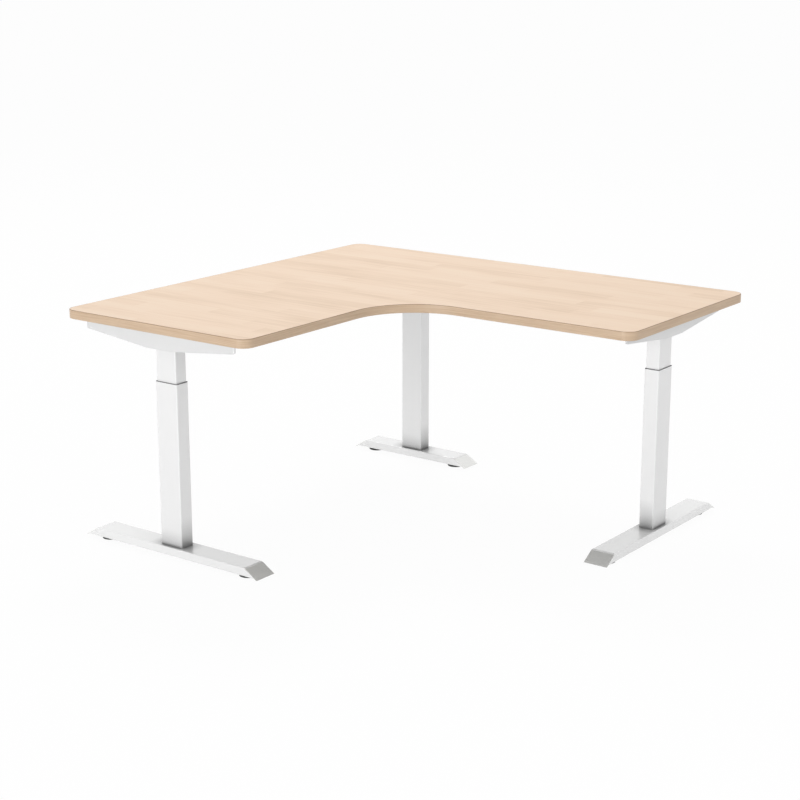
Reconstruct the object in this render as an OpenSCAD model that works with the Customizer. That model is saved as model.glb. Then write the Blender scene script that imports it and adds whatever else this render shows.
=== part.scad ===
// L-shaped standing desk on three motor-driven telescopic columns.
// Origin: on the floor, under the centre of the desk's outer box. +Z up, +X along the long
// wing to its free end, +Y away from the user towards the back of that wing.

/* [Tabletop] */
// Overall length of the top along X
top_len_x = 1600; // [1400:10:1800]
// Overall length of the top along Y
top_len_y = 1500; // [1400:10:1700]
// Depth of the wing that runs along X
wing_x_depth = 750; // [740:5:800]
// Depth of the wing that runs along Y
wing_y_depth = 750; // [740:5:800]
// Thickness of the board
board_t = 28; // [24:1:36]
// Radius of the board's outer corners
corner_r = 40; // [10:5:60]
// Radius of the curve in the angle of the L, where the user sits
inner_r = 220; // [100:10:300]
// Thickness of the edge band
band_t = 2; // [1:0.5:3]
// Height of the table surface above the floor, as drawn
desk_h = 760; // [755:1:790]

/* [Travel] */
// How far the top can go down from the drawn height
travel_down = 90; // [60:5:95]
// How far the top can go up from the drawn height
travel_up = 340; // [250:5:340]

/* [Leg places] */
// Left leg: from the free end of its wing to the column's centre
left_leg_in = 82; // [75:1:120]
// Corner leg: from the outer X edge to the column's centre
corner_leg_x = 342; // [300:1:400]
// Corner leg: from the outer Y edge to the column's centre
corner_leg_y = 98; // [80:1:120]
// Right leg: from the free end of its wing to the column's centre
right_leg_in = 113; // [80:1:140]
// Right leg: from the outer Y edge to the column's centre
right_leg_y = 367; // [350:0.5:380]

/* [Columns] */
// Lower tube, side along the foot
lower_w = 87.5; // [85:0.5:90]
// Lower tube, side across the foot
lower_d = 51; // [50.5:0.5:54]
// Lower tube, wall
lower_wall = 1.5; // [1.2:0.1:1.7]
// Lower tube, length
lower_len = 526; // [520:1:534]
// Lower tube, outer corner radius
lower_r = 3.5; // [3:0.5:5]
// Upper tube, side along the foot
upper_w = 80; // [78:0.5:81]
// Upper tube, side across the foot
upper_d = 46; // [44:0.5:46]
// Upper tube, wall
upper_wall = 1.5; // [1.2:0.1:2]
// Upper tube, outer corner radius
upper_r = 3; // [2.5:0.5:4]
// Thickness of the plastic collar on top of the lower tube
collar_t = 2; // [2:0.5:5]
// How deep the collar's sleeve reaches into the lower tube
collar_depth = 30; // [20:1:32]
// Length of the glide shoe round the foot of the upper tube
shoe_len = 40; // [25:1:42]
// Thickness of the shoe's lip under the upper tube
shoe_lip = 2; // [1:0.5:3]

/* [Drive] */
// Spindle radius
spindle_r = 6; // [5:0.5:8]
// Outer radius of the push tube that stands round the spindle
push_r = 16; // [14:0.5:17]
// Wall of the push tube
push_wall = 2; // [1.5:0.5:3]
// Thickness of the plate that carries the push tube
plate_t = 6; // [4:0.5:8]
// Length of the nut inside the push tube
nut_len = 31; // [20:1:40]
// Thickness of the nut's flange
nut_flange = 4; // [2:0.5:6]
// Gearbox body, side along the bracket
gearbox_w = 84; // [82:1:90]
// Gearbox body, side across the bracket
gearbox_d = 56; // [48:1:60]
// Gearbox height, flange included
gearbox_h = 44.5; // [44:0.5:48]
// Thickness of the gearbox flange under the bracket
flange_t = 8; // [7:0.5:8.5]
// Motor radius
motor_r = 17.5; // [15:0.5:17.5]
// Motor length
motor_len = 100; // [70:5:120]
// Distance of the motor's axis from the spindle's axis
worm_offset = 18; // [14:1:20]

/* [Feet] */
// Foot width
foot_w = 82; // [72:1:100]
// Foot height, without the glides
foot_h = 31; // [26:1:34]
// How far the sides of a foot end above the lower edges of its end plates
foot_rise = 5; // [0:0.5:6]
// Foot steel thickness
foot_wall = 2.5; // [1.5:0.5:3]
// Bend radius along the foot's top edges
foot_r = 4; // [3:0.5:6]
// Flat length of the left and right feet
foot_len = 628; // [560:1:680]
// Flat length of the corner foot
corner_foot_len = 403; // [360:1:480]
// Run of the slanted foot ends
foot_slant = 50; // [30:1:60]
// Thickness of the plates that close the slanted foot ends
cap_t = 2.5; // [1.5:0.5:4]
// Height of the glides under the foot
glide_h = 8; // [6:0.5:12]
// Radius of the glides
glide_r = 28; // [22:0.5:30]
// Distance of the glides from the flat's end, inwards
glide_in = 20; // [10:1:60]
// Radius of the glide's stud
stud_r = 4; // [3:0.5:5]

/* [Brackets] */
// Bracket width
bracket_w = 106; // [100:1:115]
// Bracket steel thickness
bracket_wall = 2.5; // [2:0.5:3]
// Bend radius along the bracket's top edges
bracket_r = 4; // [3.5:0.5:6]
// Radius by which the ends of the bracket's outer cheek are turned in
bracket_turn_r = 5; // [5:0.5:8]
// Bracket depth at the column
bracket_depth = 57; // [50:0.5:60]
// Bracket depth at its ends
bracket_end_depth = 28.5; // [20:0.5:40]
// Length of the bracket's deep stretch
bracket_flat = 100; // [90:1:140]
// Radius of the bracket's lower end corners
bracket_end_r = 7; // [5:0.5:7]
// Length of the left and right brackets
bracket_len = 616; // [540:1:640]
// Length of the corner bracket
corner_bracket_len = 400; // [360:1:440]

/* [Beams] */
// Beam width
beam_w = 60; // [50:1:64]
// Beam height
beam_h = 40; // [30:1:42]
// Beam wall
beam_wall = 2; // [1.5:0.1:3]
// Gap between beam and board
beam_drop = 6; // [4:0.5:8]
// Length of the main beam's outer tube
main_beam_len = 760; // [700:10:860]
// Length of the side beam's outer tube
side_beam_len = 620; // [560:10:700]
// How far each inner beam reaches into its outer one
beam_overlap = 200; // [120:10:240]
// Thickness of the beams' end plates
end_plate_t = 4; // [3:0.5:6]

/* [Controls] */
// Control box length
box_len = 220; // [200:1:260]
// Control box width
box_w = 90; // [80:1:100]
// Control box height
box_h = 36; // [32:1:45]
// Handset length
handset_len = 130; // [124:1:150]
// Handset depth, front to back
handset_d = 46; // [40:1:60]
// Handset height
handset_h = 19; // [17:0.5:20]
// Distance of the handset's face from the edge of the board
handset_in = 80; // [0:1:150]
// How far a button stands out of the handset
button_out = 1.2; // [0.8:0.1:1.4]

/* [Hidden] */
$fn = 64;
slide_gap = 0.3;   // between pieces that slide on each other
fit_gap = 0.1;     // between pieces that fit together and stay
bore_gap = 0.05;   // between a spindle and its nut and gearbox
hole_gap = 0.3;    // radial, round a bolt
cut = 1;           // how far a cut runs past the face it opens

bolt_r = 3;
bolt_head_r = 5.5;
bolt_head_h = 4;
screw_r = 2.4;
screw_head_r = 4.5;
screw_head_h = 3;
screw_bite = 18;   // length of a screw in the board

// Levels, from the floor up
foot_top = glide_h + foot_h;
plate_top = foot_top + plate_t;
lower_top = foot_top + lower_len;
shoe_clear = 5;    // between shoe and plate with the top all the way down
upper_bottom = plate_top + shoe_clear + shoe_lip + travel_down;
nut_drop = 6;      // of the nut's flange below the lower tube's top
nut_top = lower_top - nut_drop;
push_top = nut_top - nut_flange;
spindle_reach = 5; // of the spindle below its nut with the top all the way up
spindle_bottom = push_top - nut_len - travel_up - spindle_reach;
board_bottom = desk_h - board_t;
plate_level = board_bottom - bracket_wall; // underside of the bracket's top plate
upper_top = plate_level - gearbox_h;
spigot_len = 20;   // of the gearbox inside the upper tube
spindle_seat = 22; // length of the spindle inside the gearbox
spindle_top = upper_top + spindle_seat;
motor_z = (upper_top + plate_level - flange_t) / 2;
gearbox_seat = plate_level - flange_t + bolt_head_h; // of the sunk bolt heads
beam_z = board_bottom - beam_drop - beam_h / 2;

// Legs: x, y, turn of the foot, flat length of the foot, bracket length, 1 if mirrored
LEFT = [-top_len_x / 2 + wing_y_depth / 2, -top_len_y / 2 + left_leg_in, 0,
        foot_len, bracket_len, 0];
CORNER = [-top_len_x / 2 + corner_leg_x, top_len_y / 2 - corner_leg_y, 0,
          corner_foot_len, corner_bracket_len, 1];
RIGHT = [top_len_x / 2 - right_leg_in, top_len_y / 2 - right_leg_y, 90,
         foot_len, bracket_len, 0];
LEGS = [LEFT, CORNER, RIGHT];

// Bolts of a leg, from its axis
foot_bolt_at = [30, 14];
gearbox_bolt_at = [53, 18];
flange_rim = 9;    // of the gearbox flange beyond its bolts
// Board screws of a bracket, from its ends and its axis
bracket_screw_in = 22;
bracket_screw_pitch = 100;
bracket_screw_v = 34;

// Beams
beam_x = (LEFT[0] + CORNER[0]) / 2;
main_beam_ends = [LEFT[1] + bracket_w / 2, CORNER[1] - bracket_w / 2];
side_beam_ends = [beam_x + beam_w / 2, RIGHT[0] - bracket_w / 2];
plate_rim = 9;                // of an end plate beyond its bolts, and of the bolts from the beam
plate_step = 2;               // of an end plate above and below its beam
cheek_rim = 12;               // of a bracket's inner cheek beyond the end plate
beam_bolt_at = beam_w / 2 + plate_rim;
end_plate_w = beam_w + 4 * plate_rim;
end_plate_h = beam_h + 2 * plate_step;
beam_r = 3;

// Glides
pad_edge_r = 1.5;   // of a glide's rim
pad_neck_r = 16;    // top of the cone on a glide
pad_cone_h = 3;
hex_h = 2;          // wrench flats under the bush
hex_r = 7.5;
bush_r = 8;
bush_bottom = glide_h + hex_h + fit_gap;

// Control box and handset
ear_len = 14;
ear_t = 4;
box_back = 96;                // from the corner leg's axis to the box's, along Y
box_off = 30;                 // from the corner bracket's end to the box's ear
box_at = [CORNER[0] + CORNER[4] / 2 + box_off + ear_len + box_len / 2, CORNER[1] - box_back];
socket = [18, 9, 9];          // width, height and depth of a plug socket
socket_pitch = 30;
inlet = [27, 20, 12];         // the same of the mains inlet
socket_in = 30;               // first socket and inlet, from the box's ends
handset_off = 180;            // from the end of the inner curve to the handset's middle
handset_at = [-top_len_x / 2 + wing_y_depth + inner_r + handset_off,
              top_len_y / 2 - wing_x_depth + handset_in];
handset_seat = 6;             // of its sunk screw heads, under the board
handset_back_h = 12;
handset_screw_at = [50, 36];  // from its middle and its face
handset_r = 3;
button = [12, 9];
button_depth = 5;
button_r = 2;
button_pitch = 15;
button_first = -6;            // first button, from the handset's middle
display = [38, 11];
display_x = -38;
display_t = 1.5;
handset_mid = board_bottom - handset_h / 2;

function unit(v) = v / norm(v);

// The piece between a corner p, with neighbours a and b, and a circle of radius r in it:
// taken off it rounds an outer corner, added it fillets an inner one.
module corner_web(a, p, b, r) {
    u = unit(a - p);
    v = unit(b - p);
    half = acos(u * v) / 2;
    centre = p + unit(u + v) * r / sin(half);
    difference() {
        polygon([p, p + u * r / tan(half), centre, p + v * r / tan(half)]);
        translate(centre) circle(r);
    }
}

// A polygon with the corner i rounded to radii[i].
module rounded(points, radii) {
    n = len(points);
    difference() {
        polygon(points);
        for (i = [0 : n - 1])
            if (radii[i] > 0)
                corner_web(points[(i + n - 1) % n], points[i], points[(i + 1) % n], radii[i]);
    }
}

module rounded_rect(w, d, r) {
    rounded([[-w / 2, -d / 2], [w / 2, -d / 2], [w / 2, d / 2], [-w / 2, d / 2]], [r, r, r, r]);
}

module tube_2d(w, d, r, wall) {
    difference() {
        rounded_rect(w, d, r);
        rounded_rect(w - 2 * wall, d - 2 * wall, r - wall);
    }
}

// Prism from z = low to z = high.
module rise(low, high) {
    translate([0, 0, low]) linear_extrude(high - low) children();
}

// Puts a leg's piece, drawn round the Z axis with its foot along X, in its place.
module at_leg(leg) {
    translate([leg[0], leg[1], 0]) rotate([0, 0, leg[2]]) children();
}

// The same for what a column carries, drawn with the bracket's outer cheek on its -Y side.
module at_head(leg) {
    at_leg(leg) mirror([0, leg[5], 0]) children();
}

// Copies of a piece at the four corners of a rectangle, at half sizes at[0] and at[1].
module at_corners(at) {
    for (x = [-at[0], at[0]], y = [-at[1], at[1]]) translate([x, y, 0]) children();
}

// ---- Tabletop ----

// The L, inwards from its edge by inset.
module top_outline(inset) {
    x = top_len_x / 2 - inset;
    y = top_len_y / 2 - inset;
    bend = [-top_len_x / 2 + wing_y_depth - inset, top_len_y / 2 - wing_x_depth + inset];
    r = corner_r - inset;
    rounded([[-x, -y], [bend[0], -y], bend, [x, bend[1]], [x, y], [-x, y]],
            [r, r, 0, r, r, r]);
    corner_web([bend[0], -y], bend, [x, bend[1]], inner_r + inset);
}

module bracket_screw_spots(leg) {
    far = leg[4] / 2 - bracket_screw_in;
    at_corners([far, bracket_screw_v]) children();
    at_corners([far - bracket_screw_pitch, bracket_screw_v]) children();
}

module box_screw_spots() {
    translate([box_at[0], box_at[1], 0])
        at_corners([box_len / 2 + ear_len / 2, box_w / 2 - ear_len]) children();
}

module handset_screw_spots() {
    for (x = [-handset_screw_at[0], handset_screw_at[0]])
        translate([handset_at[0] + x, handset_at[1] + handset_screw_at[1], 0]) children();
}

module all_screw_spots() {
    for (leg = LEGS) at_leg(leg) bracket_screw_spots(leg) children();
    box_screw_spots() children();
    handset_screw_spots() children();
}

module desktop() {
    color("burlywood") difference() {
        rise(board_bottom, desk_h) top_outline(band_t);
        all_screw_spots()
            translate([0, 0, board_bottom - cut])
                cylinder(r = screw_r + fit_gap, h = cut + screw_bite + fit_gap);
    }
}

module edge_band() {
    color("tan") rise(board_bottom, desk_h) difference() {
        top_outline(0);
        top_outline(band_t);
    }
}

// ---- Feet ----

// Half the foot's length at height h over its lower rim.
function foot_half(leg, h) = leg[3] / 2 + foot_slant * (foot_h - h) / foot_h;

// The foot's solid form from height low to top, with its slanted ends moved in by ends.
module foot_block(leg, low, top, ends, width, r) {
    slope = atan2(foot_h, foot_slant);
    a = foot_half(leg, low) - ends / sin(slope);
    b = foot_half(leg, top) - ends / sin(slope);
    intersection() {
        rotate([90, 0, 0]) linear_extrude(width + 2 * cut, center = true)
            polygon([[-a, low], [a, low], [b, top], [-b, top]]);
        rotate([90, 0, 90]) linear_extrude(2 * a + 2 * cut, center = true)
            rounded([[-width / 2, low], [width / 2, low], [width / 2, top], [-width / 2, top]],
                    [0, 0, r, r]);
    }
}

// Pressed channel, open below. Its top runs out over the end plates, its sides stop at them.
module foot(leg) {
    color("white") at_leg(leg) difference() {
        translate([0, 0, glide_h]) difference() {
            foot_block(leg, foot_rise, foot_h, 0, foot_w, foot_r);
            foot_block(leg, -cut, foot_h - foot_wall, -cut, foot_w - 2 * foot_wall, 0);
            foot_ends(leg);
        }
        at_corners(foot_bolt_at)
            rise(foot_top - foot_wall - cut, foot_top + cut) circle(bolt_r + hole_gap);
    }
}

// What lies under the top of a foot and outside the inner faces of its end plates.
module foot_ends(leg) {
    difference() {
        foot_block(leg, -cut, foot_h - foot_wall, -cut, foot_w + 2 * cut, 0);
        foot_block(leg, -2 * cut, foot_h, cap_t, foot_w + 4 * cut, 0);
    }
}

module foot_end_caps() {
    color("lightgray") for (leg = LEGS) at_leg(leg) translate([0, 0, glide_h]) intersection() {
        foot_block(leg, 0, foot_h, 0, foot_w, foot_r);
        foot_ends(leg);
    }
}

module bolt(head_z, length, radius = bolt_r, head_r = bolt_head_r, head_h = bolt_head_h) {
    translate([0, 0, head_z - head_h]) cylinder(r = head_r, h = head_h);
    translate([0, 0, head_z]) cylinder(r = radius, h = length);
}

module foot_bolts() {
    color("silver") for (leg = LEGS) at_leg(leg) at_corners(foot_bolt_at)
        bolt(foot_top - foot_wall, foot_wall + plate_t - fit_gap);
}

// ---- Glides ----

module at_glide(leg, side) {
    at_leg(leg) translate([side * (leg[3] / 2 - glide_in), 0, 0]) children();
}

module glide_bushes() {
    color("silver") for (leg = LEGS, side = [-1, 1]) at_glide(leg, side)
        rise(bush_bottom, foot_top - foot_wall) difference() {
            circle(bush_r);
            circle(stud_r + bore_gap);
        }
}

module glide_pad(leg, side) {
    color("dimgray") at_glide(leg, side) rotate_extrude()
        rounded([[0, 0], [glide_r, 0], [glide_r, glide_h - pad_cone_h], [pad_neck_r, glide_h],
                 [0, glide_h]], [0, pad_edge_r, pad_edge_r, 0, 0]);
}

module glide_stud(leg, side) {
    color("silver") at_glide(leg, side) {
        rise(glide_h, glide_h + hex_h) circle(hex_r, $fn = 6);
        rise(glide_h + hex_h, foot_top - foot_wall - cut) circle(stud_r);
    }
}

// ---- Columns ----

module lower_tube(leg) {
    color("white") at_leg(leg)
        rise(foot_top, lower_top) tube_2d(lower_w, lower_d, lower_r, lower_wall);
}

module collar(leg) {
    hole = [upper_w + 2 * slide_gap, upper_d + 2 * slide_gap];
    bore = [lower_w - 2 * lower_wall - fit_gap, lower_d - 2 * lower_wall - fit_gap];
    color("dimgray") at_leg(leg) difference() {
        union() {
            rise(lower_top, lower_top + collar_t) rounded_rect(lower_w, lower_d, lower_r);
            rise(lower_top - collar_depth, lower_top)
                rounded_rect(bore[0], bore[1], lower_r - lower_wall);
        }
        rise(lower_top - collar_depth - cut, lower_top + collar_t + cut)
            rounded_rect(hole[0], hole[1], upper_r + slide_gap);
    }
}

module upper_tube(leg) {
    color("white") at_leg(leg)
        rise(upper_bottom, upper_top) tube_2d(upper_w, upper_d, upper_r, upper_wall);
}

// Plastic shoes round the lower ends of the upper tubes, gliding in the lower tubes.
module guide_shoes() {
    outer = [lower_w - 2 * lower_wall - 2 * slide_gap, lower_d - 2 * lower_wall - 2 * slide_gap];
    color("dimgray") for (leg = LEGS) at_leg(leg) difference() {
        rise(upper_bottom - shoe_lip, upper_bottom + shoe_len)
            rounded_rect(outer[0], outer[1], lower_r - lower_wall);
        rise(upper_bottom, upper_bottom + shoe_len + cut)
            rounded_rect(upper_w + fit_gap, upper_d + fit_gap, upper_r);
        rise(upper_bottom - shoe_lip - cut, upper_bottom + cut)
            rounded_rect(upper_w - 2 * upper_wall, upper_d - 2 * upper_wall,
                         upper_r - upper_wall);
    }
}

// ---- Drive ----

// Tube that stands on the lower tube's base plate and carries the spindle's nut.
module push_tube(leg) {
    color("silver") at_leg(leg) {
        rise(foot_top, plate_top) difference() {
            rounded_rect(lower_w - 2 * lower_wall - fit_gap, lower_d - 2 * lower_wall - fit_gap,
                         lower_r - lower_wall);
            at_corners(foot_bolt_at) circle(bolt_r + fit_gap);
        }
        rise(plate_top, push_top) difference() {
            circle(push_r);
            circle(push_r - push_wall);
        }
    }
}

module drive_nuts() {
    color("ivory") for (leg = LEGS) at_leg(leg) difference() {
        union() {
            rise(push_top - nut_len, push_top) circle(push_r - push_wall - fit_gap);
            rise(push_top, nut_top) circle(push_r);
        }
        rise(push_top - nut_len - cut, nut_top + cut) circle(spindle_r + bore_gap);
    }
}

module spindle(leg) {
    tip = spindle_r / 4;
    color("silver") at_leg(leg) rotate_extrude()
        polygon([[0, spindle_bottom], [spindle_r - tip, spindle_bottom],
                 [spindle_r, spindle_bottom + tip], [spindle_r, spindle_top], [0, spindle_top]]);
}

module gearbox(leg) {
    body_r = 6;
    flange = [2 * (gearbox_bolt_at[0] + flange_rim), 2 * (gearbox_bolt_at[1] + flange_rim)];
    color("darkgray") at_head(leg) difference() {
        union() {
            rise(upper_top - spigot_len, upper_top)
                rounded_rect(upper_w - 2 * upper_wall - fit_gap, upper_d - 2 * upper_wall - fit_gap,
                             upper_r - upper_wall);
            rise(upper_top, plate_level - flange_t) rounded_rect(gearbox_w, gearbox_d, body_r);
            rise(plate_level - flange_t, plate_level)
                rounded_rect(flange[0], flange[1], flange_rim);
            translate([0, worm_offset, motor_z]) rotate([0, 90, 0])
                cylinder(r = motor_r, h = gearbox_w / 2);
        }
        rise(upper_top - spigot_len - cut, spindle_top + cut) circle(spindle_r + bore_gap);
        at_corners(gearbox_bolt_at) {
            rise(plate_level - flange_t - cut, plate_level + cut) circle(bolt_r + hole_gap);
            rise(plate_level - flange_t - cut, gearbox_seat) circle(bolt_head_r + hole_gap);
        }
    }
}

// Motor can with a bearing boss on its rear end, turned about its own axis.
module motor(leg) {
    edge = 2;
    boss_r = 7;
    boss_h = 5;
    color("dimgray") at_head(leg)
        translate([gearbox_w / 2, worm_offset, motor_z]) rotate([0, 90, 0])
            rotate_extrude()
                polygon([[0, 0], [motor_r - edge, 0], [motor_r, edge], [motor_r, motor_len - edge],
                         [motor_r - edge, motor_len], [boss_r, motor_len],
                         [boss_r, motor_len + boss_h], [0, motor_len + boss_h]]);
}

// ---- Brackets ----

// Side view of the bracket, deep at the column and tapered to both ends.
module bracket_profile(length) {
    a = bracket_flat / 2;
    b = length / 2;
    rounded([[-b, 0], [-b, -bracket_end_depth], [-a, -bracket_depth], [a, -bracket_depth],
             [b, -bracket_end_depth], [b, 0]], [0, bracket_end_r, 0, 0, bracket_end_r, 0]);
}

// The bracket seen from above, inwards from its edge by inset.
module bracket_plan(length, inset) {
    rounded_rect(length - 2 * inset, bracket_w - 2 * inset, bracket_turn_r - inset);
}

// Upright slab of a side view, between v = near and v = far, under the board.
module upright(near, far) {
    translate([0, far, board_bottom]) rotate([90, 0, 0]) linear_extrude(far - near) children();
}

// Centre of a leg's beam joint along its bracket.
function beam_u(leg) = leg[2] == 0 ? beam_x - leg[0] : 0;

module bracket_bolt_spots(leg) {
    for (u = [-beam_bolt_at, beam_bolt_at])
        translate([beam_u(leg) + u, 0, beam_z]) children();
}

// Pressed steel bracket: top plate, tapered outer cheek with its ends turned in, and a
// short inner cheek for the beam.
module bracket(leg) {
    length = leg[4];
    w = bracket_w / 2;
    color("white") at_head(leg) difference() {
        intersection() {
            union() {
                rise(plate_level, board_bottom) bracket_plan(length, 0);
                intersection() {
                    upright(-w, -w + bracket_turn_r) bracket_profile(length);
                    rise(board_bottom - bracket_depth - cut, plate_level) difference() {
                        bracket_plan(length, 0);
                        bracket_plan(length, bracket_wall);
                    }
                }
                upright(w - bracket_wall, w) intersection() {
                    bracket_profile(length);
                    translate([beam_u(leg), 0])
                        square([end_plate_w + 2 * cheek_rim, 2 * bracket_depth + cut],
                               center = true);
                }
            }
            rotate([90, 0, 90]) linear_extrude(length + 2 * cut, center = true)
                rounded([[-w, 0], [w, 0], [w, board_bottom], [-w, board_bottom]],
                        [0, 0, bracket_r, bracket_r]);
        }
        bracket_screw_spots(leg)
            rise(plate_level - cut, board_bottom + cut) circle(screw_r + hole_gap);
        at_corners(gearbox_bolt_at)
            rise(plate_level - cut, board_bottom + cut) circle(bolt_r + fit_gap);
        bracket_bolt_spots(leg) rotate([-90, 0, 0])
            rise(w - bracket_wall - cut, w + cut) circle(bolt_r + hole_gap);
    }
}

// ---- Beams ----

// Beam along X from x = low to x = high round the beams' level.
module beam_tube(low, high, w, h) {
    translate([0, 0, beam_z]) rotate([90, 0, 90]) rise(low, high)
        tube_2d(w, h, beam_r, beam_wall);
}

// Plate welded to a beam's end, from x = low, with its two bolt holes.
module end_plate(low) {
    translate([0, 0, beam_z]) rotate([90, 0, 90]) rise(low, low + end_plate_t) difference() {
        rounded_rect(end_plate_w, end_plate_h, beam_r);
        for (u = [-beam_bolt_at, beam_bolt_at]) translate([u, 0]) circle(bolt_r + fit_gap);
    }
}

// The main beam is drawn along X from the corner leg and turned to run along -Y.
module on_main_beam() {
    translate([beam_x, main_beam_ends[1], 0]) rotate([0, 0, -90]) children();
}

module on_side_beam() {
    translate([side_beam_ends[0], RIGHT[1], 0]) children();
}

inner_beam_w = beam_w - 2 * beam_wall - 2 * fit_gap;
inner_beam_h = beam_h - 2 * beam_wall - 2 * fit_gap;
main_span = main_beam_ends[1] - main_beam_ends[0];
side_span = side_beam_ends[1] - side_beam_ends[0];
lock_at = [30, 90];           // locking bolts, from the open end of an outer beam

module lock_spots(length) {
    for (back = lock_at) translate([length - back, 0, 0]) children();
}

module outer_beam(length) {
    difference() {
        union() {
            beam_tube(end_plate_t, length, beam_w, beam_h);
            end_plate(0);
        }
        lock_spots(length)
            rise(beam_z - beam_h / 2 - cut, beam_z - beam_h / 2 + beam_wall + cut)
                circle(bolt_r + fit_gap);
    }
}

module inner_beam(length, span) {
    difference() {
        union() {
            beam_tube(length - beam_overlap, span - end_plate_t, inner_beam_w, inner_beam_h);
            end_plate(span - end_plate_t);
        }
        lock_spots(length)
            rise(beam_z - beam_h / 2, beam_z - inner_beam_h / 2 + beam_wall + cut)
                circle(bolt_r + hole_gap);
    }
}

module main_beam() {
    color("white") difference() {
        on_main_beam() outer_beam(main_beam_len);
        on_side_beam() for (u = [-beam_bolt_at, beam_bolt_at])
            translate([-beam_wall - cut, u, beam_z]) rotate([0, 90, 0])
                cylinder(r = bolt_r + fit_gap, h = beam_wall + 2 * cut);
    }
}

module main_beam_slider() {
    color("white") on_main_beam() inner_beam(main_beam_len, main_span);
}

module side_beam() {
    color("white") on_side_beam() outer_beam(side_beam_len);
}

module side_beam_slider() {
    color("white") on_side_beam() inner_beam(side_beam_len, side_span);
}

// Bolts of the frame: gearbox to bracket, bracket to beam, beam to beam, and beam locks.
module frame_bolts() {
    color("silver") {
        for (leg = LEGS) at_leg(leg)
            at_corners(gearbox_bolt_at)
                bolt(gearbox_seat, board_bottom - gearbox_seat - fit_gap);
        for (leg = LEGS) at_head(leg) bracket_bolt_spots(leg) rotate([-90, 0, 0])
            bolt(bracket_w / 2 - bracket_wall, bracket_wall + end_plate_t);
        on_side_beam() for (u = [-beam_bolt_at, beam_bolt_at])
            translate([0, u, beam_z]) rotate([0, -90, 0])
                bolt(-end_plate_t, end_plate_t + beam_wall);
        on_main_beam() lock_spots(main_beam_len)
            bolt(beam_z - beam_h / 2, 2 * beam_wall + fit_gap);
        on_side_beam() lock_spots(side_beam_len)
            bolt(beam_z - beam_h / 2, 2 * beam_wall + fit_gap);
    }
}

// ---- Controls ----

// Control box under the board, with mains inlet, three motor sockets and a handset socket.
module control_box() {
    r = 5;
    x = box_len / 2;
    front = -box_w / 2;
    color("dimgray") translate([box_at[0], box_at[1], 0]) difference() {
        union() {
            rise(board_bottom - box_h, board_bottom) rounded_rect(box_len, box_w, r);
            rise(board_bottom - ear_t, board_bottom)
                rounded_rect(box_len + 2 * ear_len, box_w - ear_len, r);
        }
        translate([-box_at[0], -box_at[1], 0]) box_screw_spots()
            rise(board_bottom - ear_t - cut, board_bottom + cut) circle(screw_r + hole_gap);
        for (i = [0 : 3])
            translate([x - socket_in - i * socket_pitch, front, board_bottom - box_h / 2])
                translate([-socket[0] / 2, -cut, -socket[1] / 2])
                    cube([socket[0], socket[2] + cut, socket[1]]);
        translate([-x + socket_in, front, board_bottom - box_h / 2])
            translate([-inlet[0] / 2, -cut, -inlet[1] / 2])
                cube([inlet[0], inlet[2] + cut, inlet[1]]);
    }
}

// Places a piece drawn flat, x to the right and y up, on the handset's face, z into it.
module on_handset_face(x) {
    translate([handset_at[0] + x, handset_at[1], handset_mid]) rotate([-90, 0, 0])
        mirror([0, 1, 0]) children();
}

module button_places() {
    for (i = [0 : 4]) on_handset_face(button_first + i * button_pitch) children();
}

module handset() {
    low = board_bottom - handset_h;
    side = handset_len / 2;
    color("dimgray") difference() {
        translate([handset_at[0], handset_at[1], 0]) rotate([90, 0, 90])
            linear_extrude(handset_len, center = true)
                rounded([[0, low], [handset_d, board_bottom - handset_back_h],
                         [handset_d, board_bottom], [0, board_bottom]],
                        [handset_r, handset_r, 0, 0]);
        handset_screw_spots() {
            rise(low - cut, board_bottom + cut) circle(screw_r + hole_gap);
            rise(low - cut, board_bottom - handset_seat) circle(screw_head_r + hole_gap);
        }
        button_places()
            rise(-cut, button_depth + button_out)
                rounded_rect(button[0] + 2 * slide_gap, button[1] + 2 * slide_gap,
                             button_r + slide_gap);
        on_handset_face(display_x) rise(-cut, display_t)
            rounded_rect(display[0] + 2 * fit_gap, display[1] + 2 * fit_gap, button_r);
    }
}

module display_window() {
    color("black") on_handset_face(display_x)
        rise(0, display_t) rounded_rect(display[0], display[1], button_r);
}

module handset_button(i) {
    color("gray") on_handset_face(button_first + i * button_pitch)
        rise(-button_out, button_depth - fit_gap) rounded_rect(button[0], button[1], button_r);
}

// Screws that hold the brackets, the control box and the handset to the board.
module board_screws() {
    color("silver") {
        for (leg = LEGS) at_leg(leg) bracket_screw_spots(leg)
            bolt(plate_level, bracket_wall + screw_bite, screw_r, screw_head_r, screw_head_h);
        box_screw_spots()
            bolt(board_bottom - ear_t, ear_t + screw_bite, screw_r, screw_head_r, screw_head_h);
        handset_screw_spots()
            bolt(board_bottom - handset_seat, handset_seat + screw_bite,
                 screw_r, screw_head_r, screw_head_h);
    }
}

desktop();
edge_band();
foot(LEFT);  // foot_left
foot(CORNER);  // foot_corner
foot(RIGHT);  // foot_right
lower_tube(LEFT);  // lower_tube_left
lower_tube(CORNER);  // lower_tube_corner
lower_tube(RIGHT);  // lower_tube_right
collar(LEFT);  // collar_left
collar(CORNER);  // collar_corner
collar(RIGHT);  // collar_right
push_tube(LEFT);  // push_tube_left
push_tube(CORNER);  // push_tube_corner
push_tube(RIGHT);  // push_tube_right
drive_nuts();
foot_bolts();
foot_end_caps();
glide_bushes();
glide_pad(LEFT, -1);  // glide_pad_left_1
glide_pad(LEFT, 1);  // glide_pad_left_2
glide_pad(CORNER, -1);  // glide_pad_corner_1
glide_pad(CORNER, 1);  // glide_pad_corner_2
glide_pad(RIGHT, -1);  // glide_pad_right_1
glide_pad(RIGHT, 1);  // glide_pad_right_2
glide_stud(LEFT, -1);  // glide_stud_left_1
glide_stud(LEFT, 1);  // glide_stud_left_2
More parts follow.
